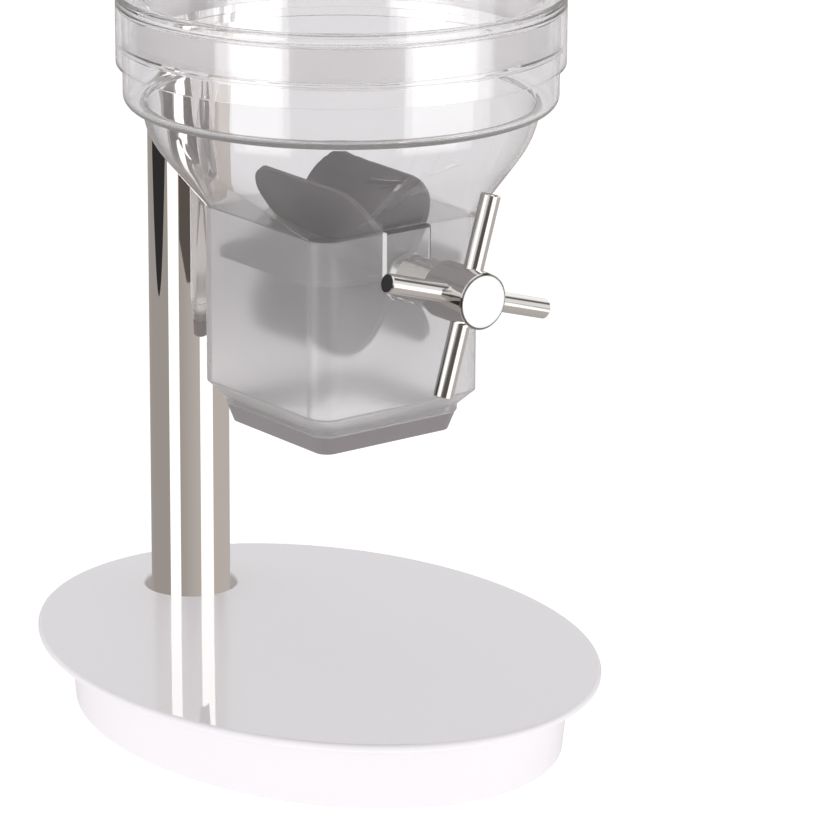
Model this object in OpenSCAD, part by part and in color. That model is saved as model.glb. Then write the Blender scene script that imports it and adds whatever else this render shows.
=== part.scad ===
// Countertop cereal dispenser: oval base, steel column, clear hopper with a
// frosted outlet box, paddle wheel and four-spoke handle, lift-off container.
// Millimetres, +Z up, origin under the middle of the base. The handle faces -Y.

/* [Base] */
// Half width of the oval rim, left to right
base_half_width = 118.8; // [110:0.1:130]
// Half depth of the oval rim, front to back
base_half_depth = 152.6; // [146:0.1:165]
// Height of the base top above the table
base_top = 37.7; // [36:0.1:46]
// Thickness of the overhanging rim
rim_thickness = 4; // [3:0.1:5]
// Half depth of the base body at its foot
body_half_depth = 135.4; // [133:0.1:140]
// Thickness of the steel ballast plate
ballast_thickness = 8; // [4:0.5:12]

/* [Column] */
// Outer diameter of the column tube
column_d = 38; // [38:0.1:38.1]
// Wall thickness of the column tube
column_wall = 1.5; // [1.2:0.1:2]
// Height of the column top above the table
column_top = 352; // [349:1:420]

/* [Hopper] */
// Side of the square outlet box
box_width = 93.7; // [93.5:0.1:96]
// Corner radius of the outlet box
box_corner = 10.5; // [9:0.1:13]
// Wall thickness of the hopper
wall = 2.6; // [2.2:0.1:2.8]
// Height of the opening above the table
outlet_z = 147.5; // [120:0.5:147.5]

/* [Paddle wheel] */
// Number of flexible blades
blades = 6; // [3:1:8]
// Radius of the blade tips
blade_r = 44.1; // [38:0.1:44.1]
// Blade thickness near the root
blade_thickness = 3.2; // [2.5:0.1:4]
// Half length of a blade along the shaft
blade_half = 43.6; // [42.5:0.1:43.9]
// Shaft diameter
shaft_d = 8; // [7:0.1:8]

/* [Handle] */
// Diameter of the handle hub
hub_d = 25.6; // [24:0.1:28]
// Diameter of one spoke
spoke_d = 9; // [7:0.1:10]
// Distance of the spoke tips from the shaft axis
spoke_reach = 46; // [38:0.5:50]
// Angle at which the handle rests
handle_angle = -16.3; // [-45:0.1:45]

/* [Container] */
// Outer radius of the container
container_r = 101; // [100.6:0.1:101]
// Height of the container rim above the table
container_top = 500; // [430:1:560]

/* [Hidden] */
$fn = 96;
tiny = 0.01;
gap = 0.02;                      // between close-fitting parts

// axes
column_r = column_d / 2;
hopper_y = -18.9;                // hopper and container axis
column_y = hopper_y + container_r + column_r + 0.8;
shaft_z = 228.1;

// ---------- helpers ----------
module at_hopper(z = 0) { translate([0, hopper_y, z]) children(); }
module at_column(z = 0) { translate([0, column_y, z]) children(); }
module at_points(points, z = 0) {
  for (point = points) translate([point[0], point[1], z]) children();
}
// turns +X towards +Z
module turned(angle) { rotate([0, -angle, 0]) children(); }
module at_shaft(angle = 0) { translate([0, 0, shaft_z]) turned(angle) children(); }

// solid with its axis along Y, optionally tapering to end_r
module y_bar(radius, start, end, end_r = -1) {
  translate([0, start, 0]) rotate([-90, 0, 0])
    cylinder(r1 = radius, r2 = end_r < 0 ? radius : end_r, h = end - start);
}
module y_tube(radius, bore, start, end) {
  difference() {
    y_bar(radius, start, end);
    y_bar(bore, start - 1, end + 1);
  }
}
module z_tube(radius, bore, height) {
  difference() {
    cylinder(r = radius, h = height);
    translate([0, 0, -1]) cylinder(r = bore, h = height + 2);
  }
}
// square plate with round corners
module round_square(width, corner, height) {
  flat = width - 2 * corner;
  translate([-width / 2 + corner, -width / 2, 0]) cube([flat, width, height]);
  translate([-width / 2, -width / 2 + corner, 0]) cube([width, flat, height]);
  for (x = [-1, 1], y = [-1, 1])
    translate([x * (width / 2 - corner), y * (width / 2 - corner), 0])
      cylinder(r = corner, h = height);
}
// thin square slice; station = [z, width, corner radius]
module slice(station) {
  translate([0, 0, station[0]]) round_square(station[1], station[2], tiny, $fn = 32);
}
module taper(upper, lower) {
  hull() {
    slice(upper);
    slice(lower);
  }
}
// two crossed slots, rising from z = 0
module cross_slot(length, width, depth) {
  translate([-length / 2, -width / 2, 0]) cube([length, width, depth]);
  translate([-width / 2, -length / 2, 0]) cube([width, length, depth]);
}
function arc(x, y, radius, start, end, steps) = [for (i = [0:steps])
  let (angle = start + (end - start) * i / steps)
  [x + radius * cos(angle), y + radius * sin(angle)]];

// ---------- base ----------
rim_bottom = base_top - rim_thickness;
rim_round = 1.8;
rim_ratio = base_half_width / base_half_depth;
body_ratio = 101.1 / 135.4;
body_flare = 3.6;                // the body widens slightly towards the rim
body_wall = 4.8;
shell_z = 1;                     // the shell clears the table by the feet
cover_z = 3;
ballast_z = 6;
well_r = 22.2;                   // well that takes the column
column_bottom = 15;
bolt_r = 4;
bolt_hole_r = 4.3;
screw_r = 1.75;
// [x, y] of the cover screws, ballast posts and feet
cover_xy = [[78, -58], [-78, -58], [78, 44], [-78, 44]];
post_xy = [[0, -80], [38, 28], [-38, 28]];
foot_xy = [[58, -84], [-58, -84], [62, 78], [-62, 78]];

module rim_plate() {
  edge_r = base_half_depth - rim_round;
  scale([rim_ratio, 1, 1]) rotate_extrude() polygon(concat(
    [[0, rim_bottom]],
    arc(edge_r, rim_bottom + rim_round, rim_round, -90, 0, 5),
    arc(edge_r, base_top - rim_round, rim_round, 0, 90, 5),
    [[edge_r, base_top + 1], [0, base_top + 1]]));
}
// flared oval, inset evenly from the outside of the body
module body_oval(bottom, inset) {
  foot_r = body_half_depth - inset;
  translate([0, 0, bottom]) scale([body_ratio, 1, 1])
    cylinder(r1 = foot_r, r2 = foot_r + body_flare, h = rim_bottom - shell_z + 1);
}
// post reaching up into the rim plate
module rim_post(radius, bottom) {
  translate([0, 0, bottom]) cylinder(r = radius, h = rim_bottom - bottom + 1);
}
module base_shell() {
  color("white") difference() {
    union() {
      rim_plate();
      difference() {
        body_oval(shell_z, 0);
        body_oval(shell_z - 1, body_wall);
      }
      at_column() rim_post(well_r + 3.3, 12);
      at_points(cover_xy) rim_post(5, ballast_z);
      at_points(post_xy, gap) rim_post(4, ballast_z + ballast_thickness);
    }
    // trims the top flat
    translate([-200, -200, base_top]) cube([400, 400, 5]);
    at_column(column_bottom) cylinder(r = well_r, h = base_top);
    at_column(base_top - 0.7) cylinder(r1 = well_r, r2 = well_r + 0.9, h = 0.9);
    at_column() cylinder(r = bolt_hole_r, h = 30);
    at_points(cover_xy, 5) cylinder(r = 1.8, h = 13);
  }
}
module ballast_plate() {
  color("dimgray") translate([0, -16, ballast_z]) scale([0.75, 1, 1])
    cylinder(r = 78, h = ballast_thickness);
}
module base_cover() {
  color("gainsboro") difference() {
    translate([0, 0, cover_z]) scale([body_ratio, 1, 1])
      cylinder(r = body_half_depth - 6.6, h = ballast_z - cover_z - tiny);
    at_points(cover_xy) cylinder(r = 2.1, h = 9);
    at_points(cover_xy, cover_z - tiny) cylinder(r1 = 3.9, r2 = 2.1, h = 1.8);
    at_column() cylinder(r = 14, h = 9);
  }
}
module cover_screws() {
  color("silver") at_points(cover_xy) difference() {
    union() {
      translate([0, 0, cover_z]) cylinder(r1 = 3.7, r2 = screw_r, h = 1.8);
      translate([0, 0, cover_z + 1.7]) cylinder(r = screw_r, h = 11);
    }
    translate([0, 0, cover_z - 1]) cross_slot(5.2, 0.8, 1.9);
  }
}
module rubber_feet() {
  color([0.25, 0.25, 0.27]) at_points(foot_xy) {
    cylinder(r1 = 8.4, r2 = 9, h = shell_z);
    translate([0, 0, shell_z]) cylinder(r = 9, h = cover_z - shell_z - tiny);
  }
}

// ---------- column ----------
column_bore_r = column_r - column_wall;
column_back = column_y + column_r;
ring_bottom = 317.5;
ring_top = 345.5;
ring_h = ring_top - ring_bottom;
clamp_z = (ring_bottom + ring_top) / 2;

module at_clamp() { translate([0, 0, clamp_z]) children(); }
module column_tube() {
  color("silver") difference() {
    at_column(column_bottom) cylinder(r = column_r, h = column_top - column_bottom);
    at_column(column_bottom - 1) cylinder(r = column_bore_r, h = column_top);
    // clamp screw hole
    at_clamp() y_bar(2.7, column_y, column_back + 2);
  }
}
module column_foot() {
  color("gray") at_column(column_bottom) difference() {
    cylinder(r = column_bore_r - gap, h = 22);
    translate([0, 0, -1]) cylinder(r = bolt_r + gap, h = 18);
  }
}
module column_bolt() {
  color("silver") {
    at_column(5.1) cylinder(r = 7.5, h = 5.3, $fn = 6);
    at_column(10.3) cylinder(r = bolt_r, h = 19);
  }
}
module bolt_washer() {
  color("silver") at_column(10.41) z_tube(8, bolt_hole_r, 1.58);
}
module column_cap() {
  plug_h = 11;
  color("silver") {
    at_column(column_top - plug_h) cylinder(r = column_bore_r - gap, h = plug_h + 0.02);
    at_column(column_top) rotate_extrude() polygon(concat(
      [[0, tiny], [column_r, tiny]], arc(column_r - 2.4, 0.8, 2.4, 0, 80, 6), [[0, 4.2]]));
  }
}

// ---------- holder ring, clamped on the column ----------
collar_bore_r = 95.6;            // inside of the hopper collar and the ring's top lip
insert_r = 4;

module holder_ring() {
  color([0.86, 0.88, 0.9, 0.5]) difference() {
    union() {
      at_hopper(ring_bottom) cylinder(r = container_r, h = ring_h);
      at_column(ring_bottom) cylinder(r = column_r + 4.5, h = ring_h);
      // bridge between ring and column sleeve
      translate([-12, hopper_y + container_r - 6, ring_bottom]) cube([24, 12, ring_h]);
      at_clamp() y_bar(8, column_y + 10, column_back + 9);
    }
    at_hopper(ring_bottom - 1) cylinder(r = 98.2, h = ring_h - 1);
    at_hopper(ring_bottom) cylinder(r = collar_bore_r, h = 60);
    at_column(ring_bottom - 1) cylinder(r = column_r + 0.03, h = 60);
    at_clamp() y_bar(insert_r + gap, column_y + 15, column_y + 40);
    // groove for the snap bead of the hopper rim
    at_hopper(326) cylinder(r = 99.4, h = 3);
  }
}
module clamp_insert() {
  color("goldenrod") at_clamp() y_tube(insert_r, 2.52, column_back + 1, column_back + 8.9);
}
module clamp_screw() {
  head_r = 5.2;
  chamfer_y = column_back + 12.6;
  color("silver") at_clamp() difference() {
    union() {
      y_bar(2.5, column_back - 4, column_back + 10);
      y_bar(head_r, column_back + 9.05, chamfer_y);
      y_bar(head_r, chamfer_y, chamfer_y + 0.6, 4.6);
    }
    // hexagon socket
    y_bar(2.3, column_back + 10.8, column_back + 14.8, $fn = 6);
  }
}

// ---------- hopper ----------
box_front = hopper_y - box_width / 2;
box_back = hopper_y + box_width / 2;
box_bore = box_width - 2 * wall;
bore_corner = box_corner - wall;
box_top = 249;
box_bottom = 166.5;
lip_top = 159.5;
lip_bottom = 156;
lip_width = 81;
lip_corner = 9;
lip_bore = 72;
lip_bore_corner = 6.5;
cone_top = 285;
cone_r = 88;                     // outside of the cone at its top
collar_r = 98;
collar_top = 343.4;
boss_front = -94;                // ends of the two shaft bosses
boss_back = box_back + 8;
bush_r = 6;

// shoulder, and collar with its snap bead; points are [radius, z]
module hopper_rim() {
  at_hopper() rotate_extrude() polygon(concat(
    [[cone_r - wall - 0.3, cone_top - 1], [cone_r, cone_top - 1],
     [cone_r, cone_top], [89.5, 298.5]],
    arc(93, 303.5, 5, -90, 0, 8),
    [[collar_r, 326.3], [99.2, 327.2], [99.2, 328], [collar_r, 328.9],
     [collar_r, collar_top], [collar_bore_r, collar_top], [collar_bore_r, 304.5]],
    arc(93.1, 303.6, 2.5, 0, -90, 5),
    [[87.2, 301.1], [86.9, 298], [cone_r - wall, cone_top]]));
}
module round_to_square(radius, top, station) {
  hull() {
    translate([0, 0, top]) cylinder(r = radius, h = tiny, $fn = 64);
    slice(station);
  }
}
module hopper_cone() {
  at_hopper() difference() {
    round_to_square(cone_r, cone_top - tiny, [box_top, box_width, box_corner]);
    round_to_square(cone_r - wall, cone_top, [box_top - tiny, box_bore, bore_corner]);
  }
}
module hopper_box() {
  cut_z = box_bottom - 1.5;
  difference() {
    at_hopper(box_bottom) round_square(box_width, box_corner, box_top - box_bottom + tiny);
    at_hopper(cut_z) round_square(box_bore, bore_corner, box_top - cut_z + 1);
  }
}
// chamfered floor down to the outlet lip
module hopper_floor() {
  at_hopper() difference() {
    taper([box_bottom, box_width, box_corner], [lip_top, lip_width, lip_corner]);
    taper([box_bottom + 0.1, box_bore, bore_corner],
      [lip_top - 0.1, lip_bore, lip_bore_corner]);
  }
}
module outlet_lip() {
  difference() {
    at_hopper(lip_bottom) round_square(lip_width, lip_corner, lip_top - lip_bottom + tiny);
    at_hopper(lip_bottom - 1) round_square(lip_bore, lip_bore_corner, 6);
  }
}
// front pad, front boss and back boss
module shaft_bosses() {
  pad_r = 12.4;
  pad_y = box_front - 3.6;
  at_shaft() {
    y_bar(pad_r, pad_y, box_front + 1);
    translate([-pad_r, pad_y, 0]) cube([2 * pad_r, 4.6, 22]);
    y_bar(11, boss_front, box_front);
    y_bar(10, box_back - 1, boss_back);
  }
}
module hopper() {
  color([0.85, 0.87, 0.9, 0.45]) difference() {
    union() {
      hopper_rim();
      hopper_cone();
      hopper_box();
      hopper_floor();
      outlet_lip();
      shaft_bosses();
    }
    at_shaft() y_bar(bush_r + 0.03, boss_front - 1, box_front + 12);
    at_shaft() y_bar(bush_r + 0.03, box_back - 12, boss_back + 1);
  }
}
module outlet_gasket() {
  color([0.45, 0.45, 0.46]) difference() {
    union() {
      at_hopper() taper([lip_bottom - gap, 79.6, 8.5], [outlet_z, 73.4, 6]);
      // collar inside the outlet lip
      at_hopper(lip_bottom - 0.1) round_square(lip_bore - 0.1, lip_bore_corner - 0.1, 3.4);
    }
    at_hopper(outlet_z - 1) round_square(66, 5, 20);
  }
}

// ---------- shaft and bearings ----------
shaft_r = shaft_d / 2;
inner_front = box_front + wall;  // inner faces of the box
inner_back = box_back - wall;
bush_bore = shaft_r + 0.05;
flange_r = 8;
washer_r = 7.4;
hub_front = -122.6;
hub_back = -95.2;
set_screw_y = -106;

module front_bush() {
  color("ivory") at_shaft() {
    y_tube(bush_r, bush_bore, boss_front, inner_front + 0.4);
    y_tube(flange_r, bush_bore, inner_front + gap, inner_front + 1);
  }
}
module rear_bush() {
  color("ivory") at_shaft() {
    y_tube(bush_r, bush_bore, inner_back - 0.4, boss_back);
    y_tube(flange_r, bush_bore, inner_back - 1, inner_back - gap);
  }
}
module front_thrust_washer() {
  color("white") at_shaft()
    y_tube(washer_r, shaft_r + gap, hub_back + gap, boss_front - gap);
}
module rear_thrust_washer() {
  color("white") at_shaft()
    y_tube(washer_r, shaft_r + gap, boss_back + 0.1, boss_back + 1.1);
}
module rear_clip() {
  color("dimgray") at_shaft() difference() {
    y_bar(6.6, boss_back + 1.2, boss_back + 2);
    y_bar(shaft_r - 0.48, boss_back + 1, boss_back + 3);
    // open at the bottom
    translate([-2.6, boss_back + 1, -10]) cube([5.2, 2, 10]);
  }
}
// bar across the shaft at mid wheel
module cross_bar(radius, length) {
  rotate([0, 60, 0]) translate([0, hopper_y, 0])
    cylinder(r = radius, h = length, center = true);
}
module drive_shaft() {
  color("silver") at_shaft() difference() {
    y_bar(shaft_r, -112, boss_back + 5);
    // clip groove
    difference() {
      y_bar(shaft_r + 1, boss_back + 1.15, boss_back + 2.05);
      y_bar(shaft_r - 0.5, boss_back + 1, boss_back + 3);
    }
    // flat under the handle set screw
    translate([-10, set_screw_y - 3, -shaft_r - 1.1]) cube([20, 6, 1.6]);
    cross_bar(1.5, 40);
  }
}

// ---------- paddle wheel ----------
wheel_half = 42;                 // half length of the wheel's hub and core
wheel_front = hopper_y - wheel_half;
wheel_back = hopper_y + wheel_half;
core_r = 7.5;
blade_corner = 19;

module each_blade() {
  for (i = [0:blades - 1]) turned(i * 360 / blades) children();
}
// fins of the core, grown by a margin to cut their slots
module core_fins(margin = 0) {
  each_blade() translate([0, wheel_front + 6 - margin, -0.6 - margin])
    cube([10.5 + margin, 2 * wheel_half - 12 + 2 * margin, 1.2 + 2 * margin]);
}
module wheel_core() {
  color("lightgray") at_shaft() difference() {
    union() {
      y_bar(core_r, wheel_front, wheel_back);
      core_fins();
    }
    y_bar(shaft_r + 0.03, wheel_front - 1, wheel_back + 1);
    cross_bar(1.5, 40);
  }
}
module core_pin() {
  color("silver") at_shaft() cross_bar(1.48, 14.4);
}
// one blade, radial along +X, with rounded outer corners
module blade() {
  root_x = 5;
  tip = blade_r - root_x;
  half = blade_thickness / 2;
  corner_x = blade_r - blade_corner;
  corner_y = blade_half - blade_corner;
  intersection() {
    translate([root_x, hopper_y, 0]) rotate([90, 0, 0])
      linear_extrude(height = 2 * blade_half, center = true) polygon([
        [0, -half - 0.6], [6, -half], [tip - 1, -half + 0.4], [tip, -half + 0.9],
        [tip, half - 0.9], [tip - 1, half - 0.4], [6, half], [0, half + 0.6]]);
    at_hopper(-5) union() {
      translate([0, -blade_half, 0]) cube([corner_x, 2 * blade_half, 10]);
      translate([0, -corner_y, 0]) cube([blade_r, 2 * corner_y, 10]);
      for (side = [-1, 1])
        translate([corner_x, side * corner_y, 0]) cylinder(r = blade_corner, h = 10);
    }
  }
}
module paddle_wheel() {
  color([0.48, 0.48, 0.49]) at_shaft() difference() {
    union() {
      y_bar(10.6, wheel_front, wheel_back);
      each_blade() blade();
    }
    y_bar(core_r + gap, wheel_front - 1, wheel_back + 1);
    // blade ends clear the bearing flanges
    for (start = [wheel_front - 4, wheel_back]) y_bar(10.7, start, start + 4);
    core_fins(gap);
  }
}

// ---------- handle ----------
hub_r = hub_d / 2;
hub_chamfer = 0.8;
cap_recess_r = hub_r - 1.6;
spoke_y = -110.8;
peg_r = 3;                       // peg of a spoke, seated in the hub

module handle_hub() {
  color("silver") at_shaft(handle_angle) difference() {
    union() {
      y_bar(hub_r - hub_chamfer, hub_front, hub_front + hub_chamfer, hub_r);
      y_bar(hub_r, hub_front + hub_chamfer, hub_back);
    }
    y_bar(shaft_r + gap, -112.5, hub_back + 1);
    y_bar(cap_recess_r, hub_front - 1, hub_front + 1.2);
    for (angle = [0:90:270])
      turned(angle) translate([8, spoke_y, 0]) rotate([0, 90, 0])
        cylinder(r = peg_r + gap, h = 10);
    // set screw hole, straight down
    turned(270 - handle_angle) translate([0, set_screw_y, 0]) rotate([0, 90, 0])
      cylinder(r = 1.98, h = 20);
  }
}
module spoke(angle) {
  spoke_r = spoke_d / 2;
  chamfer = 0.5;
  color("silver") at_shaft(handle_angle + angle)
    translate([0, spoke_y, 0]) rotate([0, 90, 0]) difference() {
      union() {
        translate([0, 0, 8.1]) cylinder(r = peg_r, h = 6);
        translate([0, 0, 10]) cylinder(r = spoke_r, h = spoke_reach - 10 - chamfer);
        translate([0, 0, spoke_reach - chamfer])
          cylinder(r1 = spoke_r, r2 = spoke_r - chamfer, h = chamfer);
      }
      // the foot of the spoke follows the round hub
      difference() {
        rotate([90, 0, 0]) cylinder(r = hub_r + gap, h = 60, center = true);
        translate([0, 0, 7]) cylinder(r = peg_r, h = 8);
      }
    }
}
module spoke_up() { spoke(90); }
module spoke_left() { spoke(180); }
module spoke_down() { spoke(270); }
module spoke_right() { spoke(0); }
module hub_cap() {
  color("white") at_shaft() y_bar(cap_recess_r - gap, hub_front + 0.05, hub_front + 1.19);
}
module hub_set_screw() {
  color("dimgray") at_shaft(270) translate([0, set_screw_y, 0]) rotate([0, 90, 0])
    difference() {
      translate([0, 0, shaft_r - 0.48]) cylinder(r = 1.96, h = 6.5);
      translate([0, 0, shaft_r + 4]) cylinder(r = 1.1, h = 4, $fn = 6);
    }
}

// ---------- container and lid; outlines are [radius, z] ----------
container_wall = 2.5;
neck_r = 91;
neck_bottom = 323.5;
seal_bore = neck_r + 0.03;
plug_r = 98;                     // lid skirt inside the container
plug_bore = 95.8;
groove_bore = 96.8;

module container() {
  rim_z = container_top - 0.6;
  inner_r = container_r - container_wall;
  color([0.9, 0.93, 0.96, 0.35]) at_hopper() rotate_extrude() polygon(concat(
    [[neck_r - container_wall, neck_bottom], [neck_r, neck_bottom],
     [neck_r, ring_top + 0.02]],
    arc(container_r - 1, ring_top + 1.02, 1, -90, 0, 3),
    [[container_r, rim_z], [container_r - 0.6, container_top],
     [container_r - 2, container_top], [inner_r, rim_z]],
    arc(inner_r - 2, ring_top + 5.2, 2, 0, -90, 4),
    arc(neck_r, ring_top + 0.7, container_wall, 90, 180, 4)));
}
module neck_seal() {
  color([0.85, 0.86, 0.88, 0.8]) at_hopper() rotate_extrude() polygon([
    [seal_bore, 327], [95.3, 327], [95.3, 328.2],
    [93.4, 330], [93.4, 344.6], [seal_bore, 344.6]]);
}
// the lid parts measure z from the container rim
module lid() {
  edge_r = container_r + 0.3;
  color([0.9, 0.93, 0.96, 0.4]) at_hopper(container_top) difference() {
    rotate_extrude() polygon(concat(
      [[0, 0.3], [plug_bore, 0.3], [plug_bore, -8], [plug_r, -8], [plug_r, 0.02],
       [edge_r, 0.02], [edge_r, -6], [container_r + 2.5, -6]],
      arc(container_r - 0.5, 0, 3, 0, 90, 6),
      [[60, 4.5], [0, 5.5]]));
    translate([0, 0, -5]) cylinder(r = 2.6, h = 20);
    // groove for the lid seal
    translate([0, 0, -5.5]) z_tube(99, groove_bore, 2.6);
  }
}
module lid_seal() {
  color("whitesmoke") at_hopper(container_top - 5.45) z_tube(98.4, groove_bore + 0.05, 2.5);
}
module lid_knob() {
  color("silver") at_hopper(container_top) difference() {
    rotate_extrude() polygon(concat(
      [[0, 5.54], [9, 5.54], [8, 13]], arc(15, 20, 4, -70, 80, 8), [[0, 25.5]]));
    cylinder(r = 2.02, h = 18);
  }
}
module knob_screw() {
  color("silver") at_hopper(container_top) difference() {
    union() {
      translate([0, 0, -2.5]) cylinder(r = 4.5, h = 2.76);
      cylinder(r = 2, h = 17);
    }
    translate([0, 0, -3.5]) cross_slot(6, 1, 2);
  }
}

base_shell();
ballast_plate();
base_cover();
cover_screws();
rubber_feet();
column_tube();
column_foot();
column_bolt();
bolt_washer();
column_cap();
holder_ring();
clamp_insert();
clamp_screw();
hopper();
outlet_gasket();
front_bush();
rear_bush();
paddle_wheel();
wheel_core();
core_pin();
drive_shaft();
front_thrust_washer();
rear_thrust_washer();
rear_clip();
handle_hub();
spoke_up();
spoke_left();
spoke_down();
spoke_right();
hub_cap();
hub_set_screw();
container();
neck_seal();
lid();
lid_seal();
lid_knob();
knob_screw();
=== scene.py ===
import bpy
import bmesh
import math
from mathutils import Matrix, Vector

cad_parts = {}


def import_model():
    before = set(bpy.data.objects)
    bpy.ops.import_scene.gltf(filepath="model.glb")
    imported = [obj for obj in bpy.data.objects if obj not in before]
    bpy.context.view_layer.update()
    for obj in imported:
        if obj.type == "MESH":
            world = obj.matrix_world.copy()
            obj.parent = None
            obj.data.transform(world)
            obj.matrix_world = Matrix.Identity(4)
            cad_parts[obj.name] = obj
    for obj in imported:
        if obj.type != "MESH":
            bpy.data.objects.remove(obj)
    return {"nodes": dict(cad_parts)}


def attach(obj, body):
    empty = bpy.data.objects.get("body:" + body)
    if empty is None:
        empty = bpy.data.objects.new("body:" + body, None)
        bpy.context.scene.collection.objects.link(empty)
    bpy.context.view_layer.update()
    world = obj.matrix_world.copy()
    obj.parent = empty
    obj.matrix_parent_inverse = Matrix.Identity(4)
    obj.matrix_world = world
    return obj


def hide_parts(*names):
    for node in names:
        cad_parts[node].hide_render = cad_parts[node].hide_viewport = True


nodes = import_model()["nodes"]
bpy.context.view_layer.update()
scene = bpy.context.scene

MM = 0.001
AXIS_Y = -18.9                    # vertical axis of hopper, ring, container and lid
COLUMN_Y = 101.9                  # vertical axis of the column
WHEEL_Z = 228.1                   # height of the wheel axis
BOX_HALF = 93.7 / 2               # half width of the square hopper box
BOX_FRONT = AXIS_Y - BOX_HALF
BOX_BACK = AXIS_Y + BOX_HALF
RING_LOW, RING_TOP = 317.5, 345.5
BODY_RADIUS = 101.0               # outside of the holder ring and container
CONTAINER_TOP = 500.0

# Azimuths of the softboxes in degrees, from -Y towards +X
SOFTBOX_LEFT = (-95.8, -63.5)
SOFTBOX_RIGHT = (-4.2, 36.0)

# ------------------------------------------------------------------ shader helpers


def opaque(color):
    return color if isinstance(color, bpy.types.NodeSocket) else (*color, 1.0)


class Graph:
    """Adds shader nodes to one emptied tree. Any value may be a constant or a socket."""

    def __init__(self, tree):
        self.tree = tree
        tree.nodes.clear()

    def feed(self, socket, value):
        if isinstance(value, bpy.types.NodeSocket):
            self.tree.links.new(value, socket)
        else:
            socket.default_value = value

    def node(self, kind, inputs=None, **settings):
        made = self.tree.nodes.new("ShaderNode" + kind)
        for key, value in settings.items():
            setattr(made, key, value)
        for key, value in (inputs or {}).items():
            self.feed(made.inputs[key], value)
        return made

    def out(self, kind, inputs=None, **settings):
        return self.node(kind, inputs, **settings).outputs[0]

    def math(self, operation, a, b=0.0, clamp=False):
        return self.out("Math", {0: a, 1: b}, operation=operation, use_clamp=clamp)

    def add(self, a, b, clamp=False):
        return self.math("ADD", a, b, clamp)

    def mul(self, a, b):
        return self.math("MULTIPLY", a, b)

    def span(self, value, start, end, low=0.0, high=1.0, smooth=False):
        """Maps start..end to low..high."""
        made = self.node("MapRange", {0: value, 1: start, 2: end, 3: low, 4: high})
        if smooth:
            made.interpolation_type = "SMOOTHSTEP"
        return made.outputs[0]

    def rise(self, value, start, end):
        return self.span(value, start, end, smooth=True)

    def fall(self, value, start, end):
        return self.span(value, start, end, low=1.0, high=0.0, smooth=True)

    def around(self, noise, value, spread):
        """The value, varied by a share either way as the noise goes."""
        return self.span(noise, 0.3, 0.7, low=value * (1.0 - spread), high=value * (1.0 + spread))

    def mix_color(self, factor, a, b):
        colors = {0: factor, 6: opaque(a), 7: opaque(b)}
        return self.node("Mix", colors, data_type="RGBA").outputs[2]

    def mix_shader(self, factor, a, b):
        return self.out("MixShader", {0: factor, 1: a, 2: b})

    def add_shader(self, a, b):
        return self.out("AddShader", {0: a, 1: b})

    def noise(self, place, scale, detail, rough=0.5):
        inputs = {"Vector": place, "Scale": scale, "Detail": detail, "Roughness": rough}
        return self.out("TexNoise", inputs)

    def bump(self, strength, distance, height):
        return self.node("Bump", {"Strength": strength, "Distance": distance, "Height": height})

    def glow(self, color, strength=1.0):
        return self.out("Emission", {"Color": opaque(color), "Strength": strength})

    def xyz(self, vector):
        return self.node("SeparateXYZ", {0: vector}).outputs

    def place(self):
        return self.node("TexCoord").outputs["Object"]

    def geometry(self):
        return self.node("NewGeometry").outputs

    def path(self):
        return self.node("LightPath").outputs


def new_material(name):
    material = bpy.data.materials.new(name)
    material.use_nodes = True
    return material, Graph(material.node_tree)


def hairlines(g, place, *turns):
    """Two sets of fine marks: noise drawn out along one direction and cut to its crests."""
    sets = []
    for turn in turns:
        turned = g.out("Mapping", {"Vector": place, "Rotation": turn})
        drawn = g.out("Mapping", {"Vector": turned, "Scale": (1500.0, 1500.0, 14.0)})
        crests = g.noise(drawn, scale=1.0, detail=1.0, rough=0.4)
        sets.append(g.span(crests, 0.72, 0.80))
    return g.add(*sets, clamp=True)


def tone(color, gain, lift=0.0):
    return tuple(min(1.0, c * gain + lift) for c in color)


def paint_rim_reflection(g, place, color, dark_rim_reflection):
    """Painted reflection: colours a ring outside a radius about an axis along Y, ahead of
    front_y, as a polished edge mirroring something dark.
    """
    offset = g.out("VectorMath", {0: place, 1: (0.0, 0.0, dark_rim_reflection["z"])}, operation="SUBTRACT")
    offset = g.out("VectorMath", {0: offset, 1: (1.0, 0.0, 1.0)}, operation="MULTIPLY")
    distance = g.node("VectorMath", {0: offset}, operation="LENGTH").outputs["Value"]
    ring = g.rise(distance, dark_rim_reflection["radius"] - 0.0002, dark_rim_reflection["radius"])
    ring = g.mul(ring, g.math("LESS_THAN", g.xyz(place)[1], dark_rim_reflection["front_y"]))
    return g.mix_color(ring, color, dark_rim_reflection["color"])


# ------------------------------------------------------------------ opaque materials


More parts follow.
